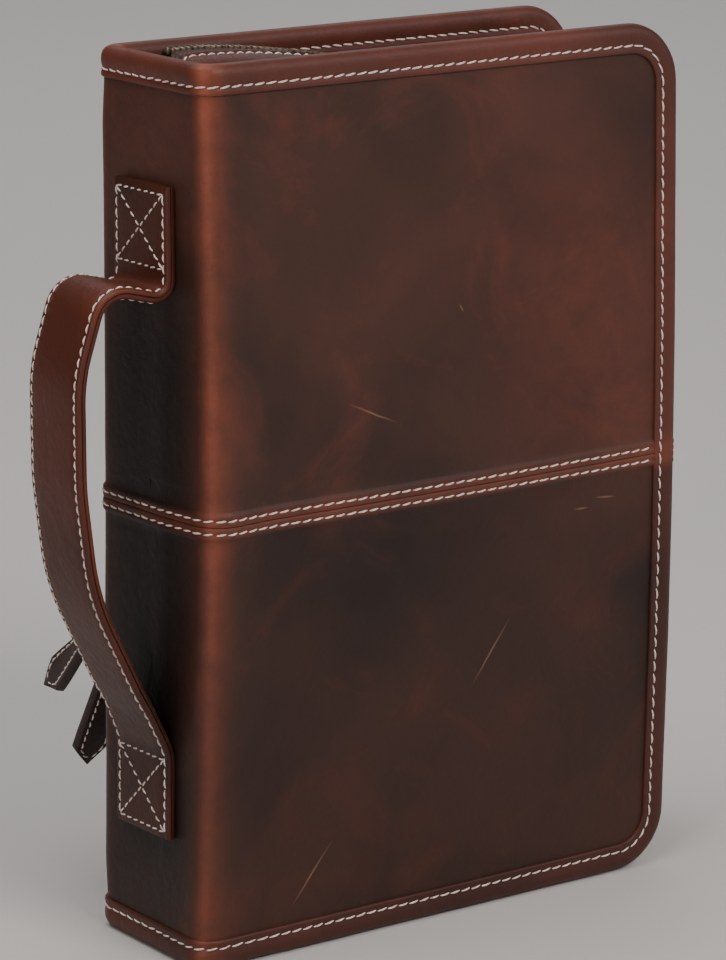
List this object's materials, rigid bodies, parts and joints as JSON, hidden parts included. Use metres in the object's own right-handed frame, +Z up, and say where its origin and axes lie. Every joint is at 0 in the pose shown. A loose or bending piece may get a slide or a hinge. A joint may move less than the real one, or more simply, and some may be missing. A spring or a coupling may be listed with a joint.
{
  "type": "zip-round leather bible cover",
  "caption": "Upright zip-round leather case holding a Bible, with a strap handle on its spine and a zipped pocket on its back.",
  "frame": {"origin": "on the standing plane, under the middle of the edge binding at the foot of the spine", "axes": "+X from the spine to the fore edge, +Y from the front cover to the back cover, +Z up along the spine"},
  "size_m": [0.2044, 0.1068, 0.266],
  "materials": {
    "dark_leather": "oiled pull-up leather, dark brown with reddish folds",
    "red_brown_leather": "oiled pull-up leather, reddish brown",
    "sleeve_leather": "thin matt leather",
    "stiffener_board": "grey board",
    "lining_cloth": "plain woven lining",
    "zip_tape": "woven zip tape",
    "antique_brass": "antique brass",
    "book_cover": "fine-grained black bonded leather",
    "page_paper": "thin book paper",
    "headband_cloth": "woven headband",
    "ribbon_satin": "satin ribbon"
  },
  "bodies": {
    "spine": {"spine_leather_upper": "dark_leather", "spine_leather_lower": "dark_leather", "spine_board": "stiffener_board", "spine_lining": "lining_cloth", "spine_binding_top": "red_brown_leather", "spine_binding_bottom": "red_brown_leather", "handle_ends_outer": "red_brown_leather", "handle_ends_inner": "red_brown_leather", "book_spine": "book_cover", "book_pages": "page_paper", "book_flyleaves": "page_paper", "book_headbands": "headband_cloth", "book_ribbon": "ribbon_satin"},
    "front_cover": {"front_leather_upper": "dark_leather", "front_leather_lower": "dark_leather", "front_board": "stiffener_board", "front_lining": "lining_cloth", "front_binding": "red_brown_leather", "front_sleeve": "sleeve_leather", "front_gusset": "red_brown_leather", "front_zip_tape": "zip_tape", "front_zip_teeth": "antique_brass", "book_front_board": "book_cover"},
    "back_cover": {"back_leather_upper": "dark_leather", "back_leather_lower": "dark_leather", "back_board": "stiffener_board", "back_lining": "lining_cloth", "back_binding": "red_brown_leather", "back_sleeve": "sleeve_leather", "back_gusset": "red_brown_leather", "back_zip_tape": "zip_tape", "back_zip_teeth": "antique_brass", "book_back_board": "book_cover", "pocket_zip_tapes": "zip_tape", "pocket_zip_teeth": "antique_brass", "pocket_zip_stops": "antique_brass"},
    "handle_arch": {"handle_arch_outer": "red_brown_leather", "handle_arch_inner": "red_brown_leather"},
    "main_slider": {"main_slider": "antique_brass"},
    "main_pull": {"main_pull_ring": "antique_brass", "main_pull_tab": "dark_leather"},
    "upper_pocket_slider": {"upper_pocket_slider": "antique_brass"},
    "upper_pull": {"upper_pull_ring": "antique_brass", "upper_pull_tab": "dark_leather"},
    "lower_pocket_slider": {"lower_pocket_slider": "antique_brass"},
    "lower_pull": {"lower_pull_ring": "antique_brass", "lower_pull_tab": "dark_leather"}
  },
  "joints": [
    {"name": "front_cover_fold", "type": "hinge", "parent": "spine", "child": "front_cover", "pos_m": [-0.00076, -0.02616, 0], "axis": [0, 0, -1], "range_deg": [0, 110]},
    {"name": "back_cover_fold", "type": "hinge", "parent": "spine", "child": "back_cover", "pos_m": [-0.00076, 0.02616, 0], "axis": [0, 0, 1], "range_deg": [0, 90]},
    {"name": "handle_swing", "type": "hinge", "parent": "spine", "child": "handle_arch", "pos_m": [-0.0121, 0, 0.133], "axis": [0, 0, 1], "range_deg": [-20, 20]},
    {"name": "main_zip_travel", "type": "slide", "parent": "back_cover", "child": "main_slider", "axis": [1, 0, 0], "range_m": [0, 0.11]},
    {"name": "main_pull_swing", "type": "hinge", "parent": "main_slider", "child": "main_pull", "pos_m": [0.0149, 0, 0.0054], "axis": [0, 1, 0], "range_deg": [0, 110]},
    {"name": "upper_pocket_zip_travel", "type": "slide", "parent": "back_cover", "child": "upper_pocket_slider", "axis": [0, 0, 1], "range_m": [0, 0.12]},
    {"name": "upper_pull_swing", "type": "hinge", "parent": "upper_pocket_slider", "child": "upper_pull", "pos_m": [0.0094, 0.0305, 0.1005], "axis": [1, 0, 0], "range_deg": [-5, 120]},
    {"name": "lower_pocket_zip_travel", "type": "slide", "parent": "back_cover", "child": "lower_pocket_slider", "axis": [0, 0, -1], "range_m": [0, 0.022]},
    {"name": "lower_pull_swing", "type": "hinge", "parent": "lower_pocket_slider", "child": "lower_pull", "pos_m": [0.0094, 0.0305, 0.091], "axis": [1, 0, 0], "range_deg": [-24, 11]}
  ]
}
